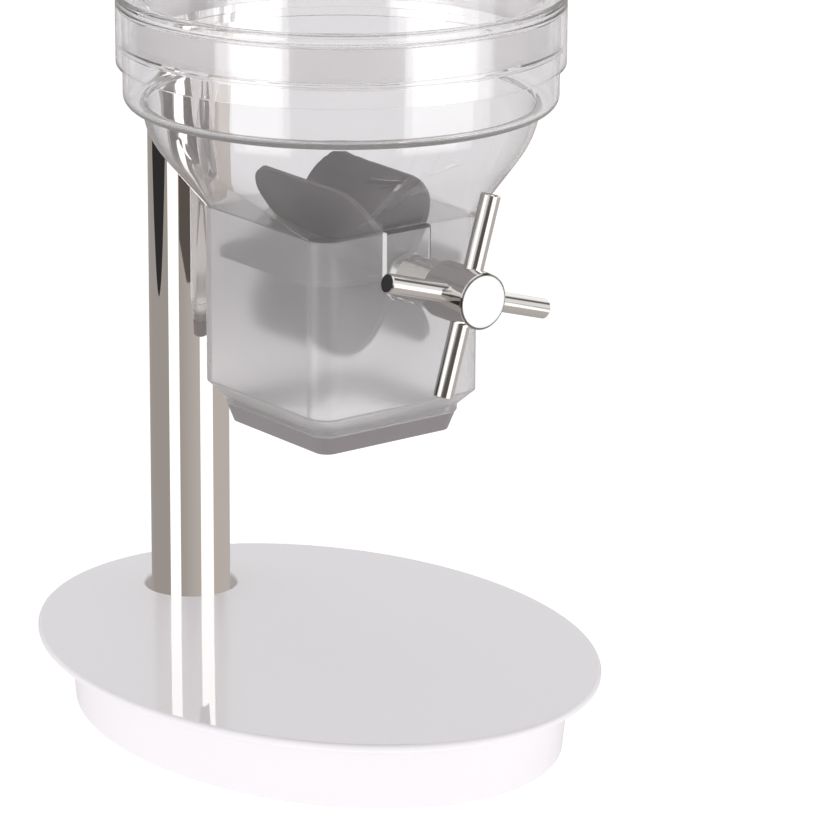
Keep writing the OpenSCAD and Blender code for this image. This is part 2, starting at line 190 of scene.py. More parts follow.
def finish(name, color, rough, metal=0.0, color_vary=0.05, rough_vary=0.3, scale=28.0,
           detail=3.0, stretch=(1.0, 1.0, 1.0), fine=520.0, bump=0.12, depth=0.00006, marks=0.25,
           edge=0.0, coat=0.0, coat_rough=0.03, specular=0.5, sheen=0.0, wave=0.0,
           top_gloss=False, dark_rim_reflection=None):
    """An opaque surface with broad variation, fine grain, hairline marks and worn edges.

    scale, detail and stretch shape the broad noise; fine, bump and depth the grain;
    marks and edge weigh hairlines and wear; wave is the depth of a slow swell;
    top_gloss keeps the full gloss to faces that look up; the rim entry paints a dark reflection
    ring.
    """
    material, g = new_material(name)
    place = g.place()
    stretched = g.out("Mapping", {"Vector": place, "Scale": stretch})
    broad = g.noise(stretched, scale, detail)
    grain = g.noise(stretched, fine, detail=3.0)
    lines = hairlines(g, place, (0.3, 0.5, 0.9), (1.2, 0.2, 2.2))

    def broad_span(low, high):
        return g.span(broad, 0.25, 0.75, low, high, smooth=True)

    shade = g.mix_color(broad_span(0.0, 1.0), tone(color, 1.0 - color_vary),
                        tone(color, 1.0 + color_vary))
    # Painted reflection: a dark ring where a polished edge would mirror something dark
    if dark_rim_reflection:
        shade = paint_rim_reflection(g, place, shade, dark_rim_reflection)
    roughness = broad_span(rough * (1.0 - rough_vary), rough * (1.0 + rough_vary))
    roughness = g.add(roughness, g.mul(lines, marks * 0.12), clamp=True)
    if edge > 0.0:
        # Convex edges wear rougher and a little lighter
        worn = g.mul(g.span(g.geometry()["Pointiness"], 0.52, 0.60), edge)
        roughness = g.add(roughness, g.mul(worn, 0.15), clamp=True)
        shade = g.mix_color(worn, shade, tone(color, gain=1.15, lift=0.02))
    height = g.math("SUBTRACT", grain, g.mul(lines, marks * 0.6))
    relief = g.bump(bump, depth, height)
    if wave > 0.0:
        swell_noise = g.noise(place, scale=9.0, detail=0.0, rough=0.0)
        swell = g.bump(1.0, wave, swell_noise).outputs[0]
        g.feed(relief.inputs["Normal"], swell)
    surface = g.node("BsdfPrincipled", {
        "Base Color": shade, "Roughness": roughness, "Metallic": metal, "IOR": 1.5,
        "Normal": relief.outputs[0], "Coat Weight": coat, "Coat Roughness": coat_rough,
        "Specular IOR Level": specular, "Sheen Weight": sheen})
    if top_gloss:
        up = g.xyz(g.geometry()["Normal"])[2]
        # Share of the gloss left on faces that don't look up
        for key, low, high in (("Coat Weight", 0.06 * coat, coat),
                               ("Specular IOR Level", 0.12, specular)):
            g.feed(surface.inputs[key], g.span(up, 0.45, 0.9, low, high, smooth=True))
    if coat > 0.0:
        varied = broad_span(coat_rough * 0.6, coat_rough * 1.5)
        g.feed(surface.inputs["Coat Roughness"], g.add(varied, g.mul(lines, marks * 0.05)))
        if wave > 0.0:
            g.feed(surface.inputs["Coat Normal"], swell)
    g.node("OutputMaterial", {"Surface": surface.outputs[0]})
    return material


FINISHES = {
    "base_white": dict(
        color=(0.80, 0.778, 0.797), rough=0.32, color_vary=0.004, rough_vary=0.06, scale=12.0,
        fine=420.0, bump=0.05, coat=1.0, coat_rough=0.014, marks=0.06, wave=0.0006, detail=1.0,
        top_gloss=True),
    "column_steel": dict(
        color=(0.90, 0.865, 0.84), rough=0.016, metal=1.0, color_vary=0.02, rough_vary=0.4,
        scale=14.0, fine=260.0, bump=0.03, depth=0.00002, stretch=(1.0, 1.0, 0.12), marks=0.03),
    "handle_chrome": dict(
        color=(0.88, 0.865, 0.85), rough=0.085, metal=1.0, color_vary=0.02, scale=40.0,
        fine=380.0, bump=0.03, depth=0.00002),
    "cap_white": dict(
        color=(0.92, 0.915, 0.91), rough=0.10, color_vary=0.015, scale=60.0, bump=0.04,
        coat=1.0, marks=0.2),
    "hub_chrome": dict(
        color=(0.80, 0.785, 0.77), rough=0.08, metal=1.0, color_vary=0.02, scale=40.0,
        fine=380.0, bump=0.03, depth=0.00002,
        # Painted reflection: dark ring on the hub's front edge, standing in for the room mirrored
        # there
        dark_rim_reflection=dict(z=WHEEL_Z * MM, radius=0.0117, color=(0.20, 0.195, 0.19), front_y=-0.1222)),
    "grey_silicone": dict(
        color=(0.165, 0.154, 0.158), rough=0.46, color_vary=0.06, rough_vary=0.12, scale=45.0,
        fine=900.0, bump=0.2, depth=0.00008, marks=0.15, sheen=0.15, specular=0.4, edge=0.2),
    "gasket_grey": dict(
        color=(0.205, 0.187, 0.190), rough=0.46, rough_vary=0.12, scale=45.0,
        fine=900.0, bump=0.2, depth=0.00008, marks=0.15, sheen=0.15, specular=0.4, edge=0.2),
    "cover_plastic": dict(
        color=(0.62, 0.62, 0.63), rough=0.42, color_vary=0.03, fine=1500.0, bump=0.35,
        depth=0.0001, marks=0.5, edge=0.3),
    "foot_rubber": dict(
        color=(0.045, 0.045, 0.05), rough=0.7, color_vary=0.25, fine=1300.0, bump=0.4,
        depth=0.00015, marks=0.3, sheen=0.2, edge=0.5),
    "ballast_steel": dict(
        color=(0.42, 0.41, 0.40), rough=0.42, metal=1.0, color_vary=0.12, fine=700.0, bump=0.3,
        depth=0.0001, marks=0.9),
    "fastener_steel": dict(
        color=(0.70, 0.69, 0.67), rough=0.22, metal=1.0, color_vary=0.06, scale=120.0,
        fine=1500.0, bump=0.15, marks=0.8, edge=0.5),
    "shaft_steel": dict(
        color=(0.72, 0.71, 0.70), rough=0.14, metal=1.0, color_vary=0.04, scale=90.0,
        fine=1200.0, bump=0.1, stretch=(1.0, 0.1, 1.0), marks=0.8),
    "clip_steel": dict(
        color=(0.10, 0.10, 0.105), rough=0.32, metal=1.0, color_vary=0.15, scale=200.0,
        fine=1800.0, bump=0.2, marks=0.6, edge=0.6),
    "brass_insert": dict(
        color=(0.80, 0.60, 0.28), rough=0.24, metal=1.0, color_vary=0.07, scale=200.0,
        fine=1500.0, bump=0.15, marks=0.7, edge=0.4),
    "bush_acetal": dict(
        color=(0.86, 0.85, 0.81), rough=0.36, color_vary=0.02, scale=80.0, fine=1100.0,
        bump=0.1, marks=0.4, edge=0.2),
    "core_nylon": dict(
        color=(0.70, 0.69, 0.66), rough=0.45, color_vary=0.03, scale=80.0, fine=1100.0,
        bump=0.15, marks=0.4, edge=0.2),
}

# ------------------------------------------------------------------ see-through materials


def output_with_shadow(g, body, passed):
    """Ends the material, with a shadow that lets a share of the light pass."""
    see = g.out("BsdfTransparent", {"Color": opaque((passed,) * 3)})
    body = g.mix_shader(g.path()["Is Shadow Ray"], body, see)
    g.node("OutputMaterial", {"Surface": body})


def soft_silicone(name):
    """Soft translucent rubber."""
    color, rough, clearness = (0.975, 0.965, 0.97), 0.3, 0.68
    material, g = new_material(name)
    place = g.place()
    broad = g.noise(place, scale=40.0, detail=4.0, rough=0.6)
    grain = g.noise(place, scale=800.0, detail=2.0)
    bump = g.bump(strength=0.08, distance=0.00005, height=grain).outputs[0]
    shade = g.mix_color(g.span(broad, 0.3, 0.7), tone(color, 0.97), tone(color, 1.02))
    common = {"Base Color": shade, "Normal": bump}
    through = g.out("BsdfTranslucent", {"Color": shade, "Normal": bump})
    skin = g.out("BsdfPrincipled", {**common, "Roughness": g.around(broad, rough, 0.2)})
    glass = g.out("BsdfPrincipled", {
        **common, "Roughness": 0.45, "IOR": 1.2, "Transmission Weight": 1.0})
    body = g.mix_shader(clearness, g.mix_shader(0.5, through, skin), glass)
    output_with_shadow(g, body, passed=0.6)
    return material


def painted_softbox_gleam(g):
    """Painted reflection of the two softboxes: a glow where a polished wall would mirror them,
    found from the mirrored direction.
    """
    brightness = 0.095
    edge = 0.8                    # half width of a stripe's soft edge, degrees
    degrees_per_radian = 57.29578
    geometry = g.geometry()
    normal, view = geometry["Normal"], geometry["Incoming"]
    facing = g.node("VectorMath", {0: normal, 1: view}, operation="DOT_PRODUCT").outputs["Value"]
    twice = g.out("VectorMath", {0: normal, 3: g.mul(facing, 2.0)}, operation="SCALE")
    x, y, z = g.xyz(g.out("VectorMath", {0: twice, 1: view}, operation="SUBTRACT"))
    azimuth = g.mul(g.math("ARCTAN2", x, g.mul(y, -1.0)), degrees_per_radian)
    stripes = [g.mul(g.rise(azimuth, start - edge, start + edge),
                     g.fall(azimuth, end - edge, end + edge))
               for start, end in (SOFTBOX_LEFT, SOFTBOX_RIGHT)]
    lit = g.math("MAXIMUM", *stripes)
    level = g.mul(g.rise(z, -0.50, -0.42), g.fall(z, 0.10, 0.16))
    path = g.path()
    seen = g.math("MAXIMUM", path["Is Camera Ray"], path["Is Transmission Ray"])
    return g.glow((1.0, 0.997, 1.0), g.mul(g.mul(lit, level), g.mul(seen, brightness)))


def frost_hopper(g, place, broad, milk, body):
    """Frosts the box and the pad round the shaft, and paints a glowing highlight and dark shaded
    edges on the pad.
    """
    x, y, z = g.xyz(place)
    grains = g.noise(place, scale=2600.0, detail=2.0, rough=0.6)
    bump = g.bump(strength=0.03, distance=0.00004, height=grains).outputs[0]
    frost = g.out("BsdfPrincipled", {
        "Base Color": (0.912, 0.899, 0.906, 1.0), "Roughness": g.around(broad, 0.24, 0.08),
        "IOR": 1.5, "Transmission Weight": 1.0, "Normal": bump})
    sheen = g.out("BsdfAnisotropic", {"Color": opaque((0.022,) * 3), "Roughness": 0.14})
    frost = g.add_shader(frost, sheen)
    frost = g.mix_shader(g.around(broad, 0.20, 0.05), frost, milk)

    # The pad: ahead of the box face, below its own top, within its own width
    normal_x = g.xyz(g.geometry()["Normal"])[0]
    pad = g.mul(g.math("LESS_THAN", y, BOX_FRONT * MM - 0.0004),
                g.math("LESS_THAN", z, 0.2503))
    pad = g.mul(pad, g.math("LESS_THAN", g.math("ABSOLUTE", x), 0.0126))
    # Painted highlight as a glow on the faces that look left, painted shade along the right and
    # top edges
    pad_painted_highlight = g.mul(pad, g.rise(normal_x, -0.75, -0.9))
    pad_painted_shade = g.math("MAXIMUM", g.rise(x, 0.0113, 0.0117), g.rise(z, 0.2488, 0.2492))
    pad_painted_shade = g.mul(g.mul(pad, g.math("GREATER_THAN", z, 0.226)), pad_painted_shade)
    painted_shade_bsdf = g.out("BsdfDiffuse", {"Color": (0.07, 0.068, 0.07, 1.0)})
    frost = g.mix_shader(g.mul(pad_painted_shade, 0.75), frost, painted_shade_bsdf)
    frost = g.mix_shader(g.mul(pad_painted_highlight, 0.7), frost, g.glow((0.86, 0.85, 0.86)))

    # Frosted up to the top of the box, and back from just ahead of the pad
    top = (0.2478, 0.2492)
    front = -0.0698
    frosted = g.math("SUBTRACT", 1.0, g.rise(z, *top))
    frosted = g.math("MAXIMUM", frosted, pad)
    frosted = g.mul(frosted, g.rise(y, front - 0.0002, front + 0.0002))
    return g.mix_shader(frosted, body, frost)


def paint_dark_mirror_image(g, place, body):
    """Painted reflection: to mirrored rays from the front, the hopper below about 300 mm is a dim
    glow, so the polished hub shows it dark.
    """
    path = g.path()
    share = g.mul(path["Is Glossy Ray"], g.math("SUBTRACT", 1.0, path["Is Transmission Ray"]))
    view_y = g.xyz(g.geometry()["Incoming"])[1]
    share = g.mul(share, g.span(view_y, -0.1, -0.3, high=0.8, smooth=True))
    share = g.mul(share, g.fall(g.xyz(place)[2], 0.29, 0.31))
    return g.mix_shader(share, body, g.glow((0.20, 0.19, 0.19)))


def clear_plastic(name, hopper=False):
    """Clear moulded plastic with faint haze and wiping marks; the hopper's is partly frosted."""
    material, g = new_material(name)
    place = g.place()
    broad = g.noise(place, scale=22.0, detail=4.0, rough=0.6)
    grain = g.noise(place, scale=900.0, detail=2.0)
    lines = hairlines(g, place, (0.1, 0.4, 0.7), (1.0, 0.9, 2.0))
    roughness = g.add(g.around(broad, 0.010, 0.5), g.mul(lines, 0.03))
    height = g.add(g.noise(place, scale=70.0, detail=2.0), g.mul(grain, 0.15))
    bump = g.bump(strength=0.015, distance=0.00005, height=height).outputs[0]
    glass = g.out("BsdfPrincipled", {
        "Base Color": (0.985, 0.98, 0.982, 1.0), "Roughness": roughness, "IOR": 1.34,
        "Transmission Weight": 1.0, "Normal": bump})
    milk_color = {"Color": (0.93, 0.925, 0.925, 1.0)}
    milk = g.mix_shader(0.5, g.out("BsdfTranslucent", milk_color),
                        g.out("BsdfDiffuse", milk_color))
    body = g.mix_shader(g.around(broad, 0.02, 0.4), glass, milk)
    shine = g.out("BsdfAnisotropic", {
        "Color": opaque((0.010,) * 3), "Roughness": 0.02, "Normal": bump})
    body = g.add_shader(body, shine)
    # Painted reflection of the softboxes, added as a glow
    body = g.add_shader(body, painted_softbox_gleam(g))
    if hopper:
        body = frost_hopper(g, place, broad, milk, body)
        # Painted reflection: the hopper shows dark in the polished hub
        body = paint_dark_mirror_image(g, place, body)
    output_with_shadow(g, body, passed=0.9)
    return material


materials = {name: finish(name, **look) for name, look in FINISHES.items()}
materials["silicone_milk"] = soft_silicone("silicone_milk")
materials["clear_plastic"] = clear_plastic("clear_plastic")
materials["hopper_plastic"] = clear_plastic("hopper_plastic", hopper=True)

# ------------------------------------------------------------------ mesh helpers


def tidy(mesh, merge=0.0, dissolve=0.0, normals=False):
    work = bmesh.new()
    work.from_mesh(mesh)
    if merge:
        bmesh.ops.remove_doubles(work, verts=work.verts, dist=merge)
    if dissolve:
        bmesh.ops.dissolve_degenerate(work, edges=work.edges, dist=dissolve)
    if normals:
        bmesh.ops.recalc_face_normals(work, faces=work.faces)
    work.to_mesh(mesh)
    work.free()


def shade_smooth(obj, sharp):
    """Smooth shading with edges above the sharp angle (degrees) kept."""
    obj.data.shade_smooth()
    obj.data.set_sharp_from_angle(angle=math.radians(sharp))
    weighted = obj.modifiers.new("weighted", "WEIGHTED_NORMAL")
    weighted.keep_sharp = True
    weighted.weight = 90


def mesh_object(name, verts, faces, unit=MM):
    mesh = bpy.data.meshes.new(name)
    mesh.from_pydata([(x * unit, y * unit, z * unit) for x, y, z in verts], [], faces)
    mesh.validate()
    mesh.update()
    obj = bpy.data.objects.new(name, mesh)
    scene.collection.objects.link(obj)
    tidy(mesh, normals=True)
    return obj


def bands(rows, count, closed=True):
    """Quads between neighbouring rows of count points; closed joins the last row to the first."""
    faces = []
    for i in range(rows if closed else rows - 1):
        here, there = i * count, (i + 1) % rows * count
        for j in range(count):
            j2 = (j + 1) % count
            faces.append((here + j, here + j2, there + j2, there + j))
    return faces


def arc(x, y, radius, start, end, steps):
    points = []
    for i in range(steps + 1):
        angle = math.radians(start + (end - start) * i / steps)
        points.append((x + radius * math.cos(angle), y + radius * math.sin(angle)))
    return points


def circle(radius, y, count=128):
    """Circle about (0, y)."""
    angles = [2.0 * math.pi * i / count for i in range(count)]
    return [(radius * math.cos(t), y + radius * math.sin(t)) for t in angles]


def fillet(points, radius, steps, limit=24.0):
    """Rounds the corners of a closed outline that turn by at least limit degrees."""
    rounded = []
    for i, point in enumerate(points):
        corner = Vector(point)
        back = Vector(points[i - 1]) - corner
        ahead = Vector(points[(i + 1) % len(points)]) - corner
        back_length, ahead_length = back.length, ahead.length
        back, ahead = back / back_length, ahead / ahead_length
        if math.degrees(math.pi - back.angle(ahead)) < limit:
            rounded.append(tuple(corner))
            continue
        half = back.angle(ahead) / 2.0
        # A fillet takes at most 0.42 of either side
        cut = min(radius / math.tan(half), 0.42 * back_length, 0.42 * ahead_length)
        fitted = cut * math.tan(half)
        centre = corner + (back + ahead).normalized() * (fitted / math.sin(half))
        first, last = corner + back * cut - centre, corner + ahead * cut - centre
        start = math.atan2(first.y, first.x)
        sweep = math.atan2(last.y, last.x) - start
        sweep = (sweep + math.pi) % (2.0 * math.pi) - math.pi
        for j in range(steps + 1):
            t = start + sweep * j / steps
            rounded.append((centre.x + fitted * math.cos(t), centre.y + fitted * math.sin(t)))
    return rounded


def lathe(name, profile, smooth=True):
    """Closed outline of (radius, height) turned round the vertical container axis."""
    segments = 256
    verts = []
    for radius, z in profile:
        for j in range(segments):
            t = 2.0 * math.pi * j / segments
            verts.append((radius * math.cos(t), AXIS_Y + radius * math.sin(t), z))
    obj = mesh_object(name, verts, bands(len(profile), segments))
    if smooth:
        shade_smooth(obj, sharp=32.0)
    return obj


def rounded_square(flat, radius, z):
    """Rounded square on the container axis, from half length of flat and corner radius."""
    arc_steps, flat_steps = 36, 6
    corners = ((1, 1), (-1, 1), (-1, -1), (1, -1))

    def point(corner, degrees):
        t = math.radians(degrees)
        return (corner[0] * flat + radius * math.cos(t),
                AXIS_Y + corner[1] * flat + radius * math.sin(t))

    ring = []
    for i, corner in enumerate(corners):
        start = 90.0 * i
        for step in range(arc_steps + 1):
            ring.append((*point(corner, start + 90.0 * step / arc_steps), z))
        a = point(corner, start + 90.0)
        b = point(corners[(i + 1) % 4], start + 90.0)
        for step in range(1, flat_steps):
            share = step / flat_steps
            ring.append((a[0] + (b[0] - a[0]) * share, a[1] + (b[1] - a[1]) * share, z))
    return ring


def loft(name, rings):
    verts = [vert for ring in rings for vert in ring]
    obj = mesh_object(name, verts, bands(len(rings), len(rings[0])))
    tidy(obj.data, merge=1e-7, normals=True)
    return obj


def inset(outline, distance):
    """Moves an anticlockwise outline inwards."""
    moved = []
    for i, point in enumerate(outline):
        before, here = Vector(outline[i - 1]), Vector(point)
        after = Vector(outline[(i + 1) % len(outline)])
        side1, side2 = (here - before).normalized(), (after - here).normalized()
        normal1, normal2 = Vector((side1.y, -side1.x)), Vector((side2.y, -side2.x))
        middle = normal1 + normal2
        middle = middle / max(middle.length, 1e-9)
        moved.append(here - middle * (distance / max(0.3, middle.dot(normal1))))
    return moved


def prism(name, outline, axis, start, end, edge=0.0):
    """Outline of (x, z) or (x, y), extruded along axis Y or Z, with ends rounded by edge."""
    edge_steps = 3
    area = sum(outline[i - 1][0] * outline[i][1] - outline[i][0] * outline[i - 1][1]
               for i in range(len(outline)))
    if area < 0:
        outline = outline[::-1]
    if edge > 0.0:
        near, far = [], []
        for i in range(edge_steps + 1):
            t = math.radians(90.0 * i / edge_steps)
            points = inset(outline, edge * (1.0 - math.sin(t)))
            depth = edge * (1.0 - math.cos(t))
            near.append((points, start + depth))
            far.append((points, end - depth))
        rows = near + far[::-1]
    else:
        points = [Vector(p) for p in outline]
        rows = [(points, start), (points, end)]
    count = len(outline)
    verts = [(p.x, along, p.y) if axis == "Y" else (p.x, p.y, along)
             for points, along in rows for p in points]
    faces = bands(len(rows), count, closed=False)
    faces.append(tuple(range(count)))
    faces.append(tuple((len(rows) - 1) * count + j for j in range(count - 1, -1, -1)))
    return mesh_object(name, verts, faces)


def combine(target, others, operation):
    for other in others:
        cut = target.modifiers.new("cut", "BOOLEAN")
        cut.operation = operation
        cut.solver = "EXACT"
        cut.object = other
    evaluated = target.evaluated_get(bpy.context.evaluated_depsgraph_get())
    mesh = bpy.data.meshes.new_from_object(evaluated)
    target.modifiers.clear()
    target.data = mesh
    for other in others:
        bpy.data.objects.remove(other)


def smooth_combined(obj):
    tidy(obj.data, merge=2e-6, dissolve=1e-6)
    shade_smooth(obj, sharp=28.0)


def paint(obj, material):
    obj.data.materials.clear()
    obj.data.materials.append(materials[material])


def stand_for(obj, node, body, material):
    """Puts a detailed mesh in the place of a CAD node."""
    paint(obj, material)
    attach(obj, body)
    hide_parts(node)


# ------------------------------------------------------------------ hopper

WALL = 2.6
BOX_CORNER = 10.5                 # corner radius of the box outside
INNER_HALF = BOX_HALF - WALL
INNER_CORNER = BOX_CORNER - WALL
OUTLET_HALF, OUTLET_CORNER = 40.5, 9.0          # outside of the foot of the box
INNER_OUTLET_HALF, INNER_OUTLET_CORNER = 36.0, 6.5
FUNNEL_LOW, FUNNEL_TOP = 249.0, 285.0           # where the square box turns round
NECK_RADIUS = 88.0

# Heights of the funnel sections
FUNNEL_LEVELS = [
    246.5, 247.6, 248.2, 248.6, 249.0, 249.4, 249.8, 250.5, 251.5, 253.0, 255.5, 258.5, 261.5,
    264.5, 267.5, 270.0, 272.5, 275.0, 277.5, 280.0, 282.0, 284.0, 286.0, 288.0, 290.0, 292.0,
    294.5, 297.0]

# Round rim: (radius, height), outside upwards
RIM_OUTSIDE = [
    (89.45, 297.8), (89.7, 298.25), (90.4, 298.5), (92.0, 298.5), (93.0, 298.5),
    *arc(93, 303.5, 5, -81, 0, 9),
    (98, 308), (98, 315), (98, 322), (98, 326.2), (98.7, 326.9), (99.15, 327.3),
    (99.15, 327.9), (98.7, 328.3), (98, 328.9), (98, 334), (98, 340), (98, 342.9),
    (97.8, 343.25), (97.4, 343.4)]
# Then inside downwards
RIM_INSIDE = [
    (96.2, 343.4), (95.8, 343.25), (95.6, 342.9), (95.6, 336), (95.6, 328), (95.6, 320),
    (95.6, 313), (95.6, 306.0),
    *arc(93.1, 303.6, 2.5, 0, -90, 6),
    (91.0, 301.1), (89.0, 301.1), (88.2, 300.9), (87.6, 300.4), (87.2, 299.6), (87.0, 298.4)]

# Inside of the foot: (half width, height), downwards
FOOT_INSIDE = [
    (INNER_HALF, 167.4), (INNER_HALF - 0.15, 166.7), (INNER_HALF - 0.6, 166.2), (39.5, 162.0),
    (36.5, 159.7), (36.1, 159.2), (36.0, 158.5), (36.0, 156.4), (36.4, 156.0)]


def clamp(value):
    return max(0.0, min(1.0, value))


def funnel_raw(z, depth):
    """(flat half length, corner radius) of the wall, depth inside the outer face."""
    corner = BOX_CORNER - depth
    flat = (BOX_HALF - depth) - corner
    radius = NECK_RADIUS - depth
    if z >= FUNNEL_TOP:
        return (0.0, radius + (z - FUNNEL_TOP) * 1.5 / 13.5)
    if z >= FUNNEL_LOW:
        t = (z - FUNNEL_LOW) / (FUNNEL_TOP - FUNNEL_LOW)
        return ((1.0 - t) * flat, (1.0 - t) * corner + t * radius)
    return (flat, corner)


def funnel(z, depth):
    """funnel_raw averaged over some height: long at the neck, short at the box."""
    reach = 9.5 * clamp((z - 250.0) / 14.0) * clamp((300.5 - z) / 6.0)
    reach += 0.9 if z < 252.0 else 0.0
    steps = 12
    flat, radius = 0.0, 0.0
    for i in range(steps + 1):
        near = funnel_raw(z + reach * (-1.0 + 2.0 * i / steps), depth)
        flat += near[0]
        radius += near[1]
    return (flat / (steps + 1), radius / (steps + 1))


def hopper_stations():
    """(flat half length, corner radius, height): outside upwards, then inside downwards."""
    stations = []
    foot = fillet([(0, 156), (OUTLET_HALF, 156), (OUTLET_HALF, 159.5), (BOX_HALF, 166.5),
                   (BOX_HALF, 200), (0, 200)], 0.8, 4)
    for half, z in foot:
        if half > 30 and z < 190:             # drops the closing sides of the outline
            share = (half - OUTLET_HALF) / (BOX_HALF - OUTLET_HALF)
            corner = OUTLET_CORNER + (BOX_CORNER - OUTLET_CORNER) * share
            stations.append((half - corner, corner, z))
    for i in range(8):
        stations.append((BOX_HALF - BOX_CORNER, BOX_CORNER, 170.0 + i * (245.0 - 170.0) / 7))
    stations += [(*funnel(z, 0.0), z) for z in FUNNEL_LEVELS]
    stations += [(0.0, radius, z) for radius, z in RIM_OUTSIDE + RIM_INSIDE]
    stations += [(*funnel(z, WALL), z) for z in reversed(FUNNEL_LEVELS[:-1])]
    for i in range(9):
        stations.append((BOX_HALF - BOX_CORNER, INNER_CORNER, 245.0 - i * (245.0 - 171.0) / 8))
    for half, z in FOOT_INSIDE:
        share = clamp((half - INNER_OUTLET_HALF) / (INNER_HALF - INNER_OUTLET_HALF))
        corner = INNER_OUTLET_CORNER + (INNER_CORNER - INNER_OUTLET_CORNER) * share
        stations.append((half - corner, corner, z))
    return stations


def build_hopper():
    pad_half = 12.4
    pad_top = WHEEL_Z + 22.0
    shaft_bore = 6.03
    hopper = loft("hopper_clear", [rounded_square(*station) for station in hopper_stations()])
    # Pad: straight sides, round lower end
    pad = [(pad_half, pad_top), *arc(0.0, WHEEL_Z, pad_half, 0, -180, 36), (-pad_half, pad_top)]
    pad = fillet(pad, 0.7, 3, limit=40.0)
    boss, back_boss = circle(11.0, WHEEL_Z), circle(10.0, WHEEL_Z)
    combine(hopper, [
        prism("pad", pad, "Y", BOX_FRONT - 3.6, BOX_FRONT + 1.0, edge=0.45),
        prism("boss", boss, "Y", -94.0, BOX_FRONT + 0.9, edge=0.5),
        prism("back_boss", back_boss, "Y", BOX_BACK - 0.9, BOX_BACK + 8.0, edge=0.4),
    ], "UNION")
    bore = circle(shaft_bore, WHEEL_Z, 96)
    combine(hopper, [
        prism("bore1", bore, "Y", -95.0, BOX_FRONT + 12.0),
        prism("bore2", bore, "Y", BOX_BACK - 12.0, BOX_BACK + 9.0),
    ], "DIFFERENCE")
    smooth_combined(hopper)
    stand_for(hopper, "hopper", "stand", "hopper_plastic")


build_hopper()

# ------------------------------------------------------------------ holder ring


def build_holder_ring():
    """Ring with a collar round the column and a screw boss behind it."""
    core = 0.01                   # radius left open on the lathe axis
    screw_z = 331.5
    cut_low, cut_top = 310.0, 350.0
    web = [(-12, AXIS_Y + 95), (12, AXIS_Y + 95), (12, AXIS_Y + 107), (-12, AXIS_Y + 107)]
    # Bore: (radius, height), with a groove and a lip at the top
    bore = [
        (core, cut_low), (98.2, cut_low), (98.2, 326.0), (99.4, 326.0), (99.4, 329.0),
        (98.2, 329.0), (98.2, 343.5), (95.6, 343.5), (95.6, cut_top), (core, cut_top)]
    outline = fillet([(core, RING_LOW), (BODY_RADIUS, RING_LOW), (BODY_RADIUS, RING_TOP),
                      (core, RING_TOP)], 0.7, 4)
    ring = lathe("holder_ring_clear", outline, smooth=False)
    boss = circle(8.0, screw_z, 96)
    combine(ring, [
        prism("collar", circle(23.5, COLUMN_Y), "Z", RING_LOW, RING_TOP, edge=0.6),
        prism("web", web, "Z", RING_LOW + 0.02, RING_TOP - 0.02),
        prism("screw_boss", boss, "Y", COLUMN_Y + 10, COLUMN_Y + 28, edge=0.5),
    ], "UNION")
    combine(ring, [
        lathe("ring_bore", bore, smooth=False),
        prism("column_bore", circle(19.03, COLUMN_Y), "Z", cut_low, cut_top),
        prism("screw_bore", circle(4.02, screw_z, 64), "Y", COLUMN_Y + 15, COLUMN_Y + 40),
    ], "DIFFERENCE")
    smooth_combined(ring)
    stand_for(ring, "holder_ring", "stand", "clear_plastic")


build_holder_ring()

# ------------------------------------------------------------------ container, seal and lid
# Profiles are (radius, height)


def build_container():
    outer, top, floor = BODY_RADIUS, CONTAINER_TOP, RING_TOP
    inner = outer - 2.5
    neck_inner, neck_outer = 88.5, 91
    profile = [
        (neck_inner, 323.5), (neck_outer, 323.5), (neck_outer, 335.0), (neck_outer, floor + 0.02),
        *arc(outer - 1, floor + 1.02, 1, -90, 0, 6),
        (outer, 380.0), (outer, 420.0), (outer, 460.0), (outer, top - 0.9),
        *arc(outer - 0.9, top - 0.9, 0.9, 15, 90, 5),
        *arc(outer - 1.6, top - 0.9, 0.9, 90, 165, 5),
        (inner, top - 0.9), (inner, 460.0), (inner, 420.0), (inner, 380.0),
        *arc(outer - 4.5, floor + 5.2, 2, 0, -90, 8),
        *arc(neck_outer, floor + 0.7, 2.5, 90, 180, 8),
        (neck_inner, 335.0)]
    container = lathe("container_clear", fillet(profile, 0.5, 3, limit=40.0))
    stand_for(container, "container", "container", "clear_plastic")


def build_neck_seal():
    profile = [(91.03, 327), (95.3, 327), (95.3, 328.2), (93.4, 330), (93.4, 344.6),
               (91.03, 344.6)]
    seal = lathe("neck_seal_soft", fillet(profile, 0.45, 3))
    stand_for(seal, "neck_seal", "container", "silicone_milk")


def build_lid():
    outer, top = BODY_RADIUS, CONTAINER_TOP
    hole = 2.6
    profile = [
        (hole, top + 0.3), (95.8, top + 0.3), (95.8, top - 8), (98, top - 8), (98, top - 5.5),
        (96.8, top - 5.5), (96.8, top - 2.9), (98, top - 2.9), (98, top + 0.02),
        (outer + 0.3, top + 0.02), (outer + 0.3, top - 6), (outer + 2.5, top - 6),
        *arc(outer - 0.5, top, 3, 0, 90, 10),
        (60, top + 4.5), (hole, top + 5.45)]
    lid = lathe("lid_clear", fillet(profile, 0.35, 3, limit=40.0))
    stand_for(lid, "lid", "lid", "clear_plastic")


build_container()
build_neck_seal()
build_lid()

# ------------------------------------------------------------------ finishes of the CAD nodes

